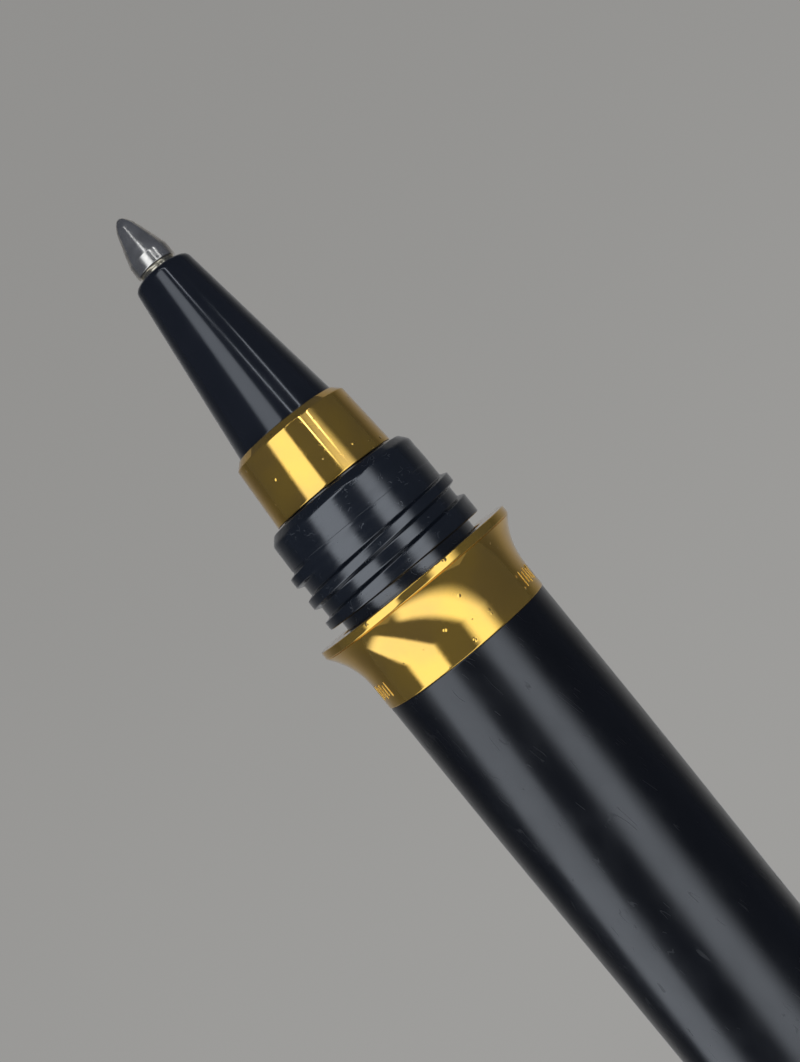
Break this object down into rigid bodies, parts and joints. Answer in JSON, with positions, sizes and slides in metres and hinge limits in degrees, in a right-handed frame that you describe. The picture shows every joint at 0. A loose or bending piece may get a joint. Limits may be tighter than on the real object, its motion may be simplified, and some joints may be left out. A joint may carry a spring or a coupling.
{
  "type": "rollerball pen",
  "caption": "Black lacquered rollerball pen with gold rings, a threaded section, a sprung refill and a screw cap with a sprung pocket clip posted on its tail.",
  "frame": {"origin": "the writing point, where the ball touches the paper", "axes": "+Z along the pen's axis from the writing point to the tail, with the pen upright and its tip down. The clip is on the -Y side."},
  "size_m": [0.0132, 0.0159, 0.161],
  "materials": {
    "gold": "polished gold plate",
    "brass": "machined",
    "steel": "turned and polished",
    "black_resin": "polished",
    "collar_resin": "turned, satin",
    "lacquer": "gloss lacquer on brass",
    "refill_plastic": "moulded",
    "refill_cap": "moulded",
    "fibre": "ink-soaked fibre"
  },
  "bodies": {
    "barrel": {"flared_ring": "gold", "barrel_bush": "brass", "barrel_shell": "lacquer", "barrel_tube": "brass", "refill_spring": "steel", "spring_seat": "brass", "finial_stud": "steel", "tail_ring": "gold", "tail_finial": "black_resin"},
    "washer": {"section_washer": "refill_plastic"},
    "section": {"nose_cone": "black_resin", "front_ring": "gold", "thread_collar": "collar_resin", "section_core": "brass"},
    "refill": {"refill_tip": "steel", "tip_holder": "brass", "ink_wick": "fibre", "refill_tube": "refill_plastic", "ink_reservoir": "fibre", "refill_plug": "refill_cap"},
    "ball": {"ball": "steel"},
    "cap": {"cap_mouth_ring": "gold", "cap_thread_insert": "brass", "cap_shell": "lacquer", "cap_liner": "refill_plastic", "crown_plate": "brass", "crown_stud": "steel", "crown_ring": "gold", "crown_finial": "lacquer", "clip_pin": "steel", "clip_leaf": "steel"},
    "clip": {"pocket_clip": "gold"}
  },
  "joints": [
    {"name": "section_travel", "type": "slide", "parent": "barrel", "child": "washer", "axis": [0, 0, -1], "range_m": [0, 0.006]},
    {"name": "section_turn", "type": "hinge", "parent": "washer", "child": "section", "pos_m": [0, 0, 0.03], "axis": [0, 0, -1], "range_deg": [0, 2880]},
    {"name": "refill_float", "type": "slide", "parent": "section", "child": "refill", "axis": [0, 0, 1], "range_m": [0, 0.0004], "stiffness_N_per_m": 1000, "springref_m": -0.0015, "deforming": ["refill_spring"]},
    {"name": "ball_roll", "type": "hinge", "parent": "refill", "child": "ball", "pos_m": [0, 0, 0.00035], "axis": [1, 0, 0], "continuous": true},
    {"name": "cap_pull", "type": "slide", "parent": "barrel", "child": "cap", "axis": [0, 0, 1], "range_m": [0, 0.03]},
    {"name": "clip_flex", "type": "hinge", "parent": "cap", "child": "clip", "pos_m": [0, -0.0049, 0.1554], "axis": [-1, 0, 0], "range_deg": [0, 5], "stiffness_Nm_per_rad": 4, "springref_deg": -1.15}
  ],
  "couplings": [
    {"joint": "section_turn", "follows": "section_travel", "rad_per_m": 8377.5}
  ]
}
